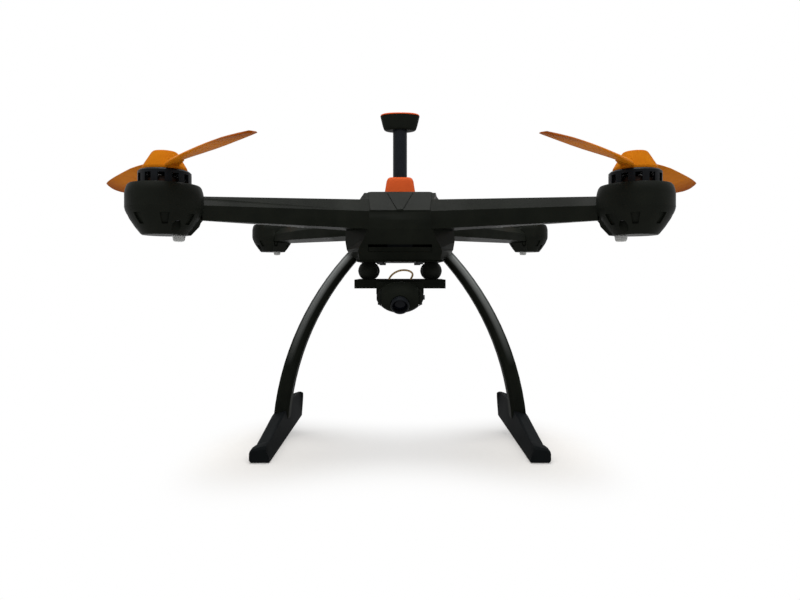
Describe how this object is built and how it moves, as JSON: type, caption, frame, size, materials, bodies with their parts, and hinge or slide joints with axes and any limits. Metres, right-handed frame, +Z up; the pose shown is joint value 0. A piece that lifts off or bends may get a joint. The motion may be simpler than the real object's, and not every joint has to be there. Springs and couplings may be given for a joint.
{
  "type": "camera quadcopter",
  "caption": "Quadcopter with a broad black X-shaped airframe, two-bladed amber propellers, arched landing legs on skids, an aerial mast and a gimballed ball camera under its nose.",
  "frame": {"origin": "centre of the part's bounding box footprint, on the ground that the skids stand on", "axes": "+Z up; the nose, with the camera, faces -Y; +X to the right when seen from the camera's side"},
  "size_m": [0.4148, 0.4372, 0.2582],
  "materials": {
    "black_shell": "moulded satin black",
    "grey_polymer": "moulded matt dark grey",
    "orange_plastic": "moulded satin orange",
    "amber_plastic": "moulded glossy amber",
    "anodised_metal": "dark anodised",
    "copper_windings": "enamelled copper wire",
    "steel": "machined",
    "circuit_board": "green solder mask",
    "module_case": "moulded case",
    "tube_composite": "smooth composite tube",
    "soft_rubber": "soft moulded rubber",
    "cord_sheath": "thin insulated wire",
    "clear_plastic": "clear moulded lens",
    "lens_glass": "polished optical glass"
  },
  "bodies": {
    "airframe": {"upper_shell": "black_shell", "lower_shell": "black_shell", "deck_cover": "black_shell", "chassis_plate": "grey_polymer", "port_cover": "black_shell", "pod_cover_front_left": "black_shell", "pod_cover_front_right": "black_shell", "pod_cover_rear_left": "black_shell", "pod_cover_rear_right": "black_shell", "lamp_lenses": "clear_plastic", "lamp_boards": "circuit_board", "motor_stators": "copper_windings", "speed_controllers": "module_case", "arm_wiring": "cord_sheath", "flight_controller": "module_case", "power_board": "circuit_board", "radio_receiver": "circuit_board", "battery_socket": "module_case", "shell_screws": "steel", "motor_screws": "steel", "pod_screws": "steel", "mast_foot": "orange_plastic", "mast_tube": "tube_composite", "aerial_cup": "black_shell", "aerial_cap": "orange_plastic", "aerial_module": "circuit_board", "aerial_cable": "cord_sheath", "mast_screws": "steel", "leg_left": "black_shell", "leg_right": "black_shell", "skid_left": "grey_polymer", "skid_right": "grey_polymer", "leg_screws": "steel", "hanger_plate": "black_shell", "hanger_screws": "steel", "damper_balls": "soft_rubber", "gimbal_tray": "black_shell", "gimbal_board": "circuit_board", "gimbal_lead": "cord_sheath", "roll_motor": "anodised_metal"},
    "rotor_front_left": {"motor_bell_front_left": "anodised_metal", "propeller_front_left": "amber_plastic"},
    "rotor_front_right": {"motor_bell_front_right": "anodised_metal", "propeller_front_right": "amber_plastic"},
    "rotor_rear_left": {"motor_bell_rear_left": "anodised_metal", "propeller_rear_left": "amber_plastic"},
    "rotor_rear_right": {"motor_bell_rear_right": "anodised_metal", "propeller_rear_right": "amber_plastic"},
    "gimbal_roll": {"gimbal_yoke": "black_shell", "tilt_motor": "anodised_metal", "tilt_pivot": "steel"},
    "camera": {"camera_ball": "black_shell", "lens_ring": "anodised_metal", "lens_glass": "lens_glass"},
    "card": {"memory_card": "grey_polymer"},
    "battery": {"battery_pack": "grey_polymer", "battery_cap": "black_shell"},
    "button": {"power_button": "black_shell"},
    "latch": {"battery_latch": "black_shell"}
  },
  "joints": [
    {"name": "spin_front_left", "type": "hinge", "parent": "airframe", "child": "rotor_front_left", "pos_m": [-0.13435, -0.13435, 0.18], "axis": [0, 0, 1], "continuous": true},
    {"name": "spin_front_right", "type": "hinge", "parent": "airframe", "child": "rotor_front_right", "pos_m": [0.13435, -0.13435, 0.18], "axis": [0, 0, 1], "continuous": true},
    {"name": "spin_rear_left", "type": "hinge", "parent": "airframe", "child": "rotor_rear_left", "pos_m": [-0.13435, 0.13435, 0.18], "axis": [0, 0, 1], "continuous": true},
    {"name": "spin_rear_right", "type": "hinge", "parent": "airframe", "child": "rotor_rear_right", "pos_m": [0.13435, 0.13435, 0.18], "axis": [0, 0, 1], "continuous": true},
    {"name": "gimbal_roll_turn", "type": "hinge", "parent": "airframe", "child": "gimbal_roll", "pos_m": [0, -0.038, 0.1092], "axis": [0, 1, 0], "range_deg": [-35, 35]},
    {"name": "camera_tilt", "type": "hinge", "parent": "gimbal_roll", "child": "camera", "pos_m": [0, -0.0568, 0.112], "axis": [1, 0, 0], "range_deg": [-60, 60]},
    {"name": "card_slide", "type": "slide", "parent": "airframe", "child": "card", "axis": [0, 1, 0], "range_m": [0, 0.013]},
    {"name": "battery_slide", "type": "slide", "parent": "airframe", "child": "battery", "axis": [0, 1, 0], "range_m": [0, 0.13]},
    {"name": "power_button_press", "type": "slide", "parent": "battery", "child": "button", "axis": [0, -1, 0], "range_m": [0, 0.0008], "stiffness_N_per_m": 400, "springref_m": -0.0008},
    {"name": "latch_press", "type": "slide", "parent": "airframe", "child": "latch", "axis": [0, -1, 0], "range_m": [0, 0.002], "stiffness_N_per_m": 300, "springref_m": -0.002}
  ]
}
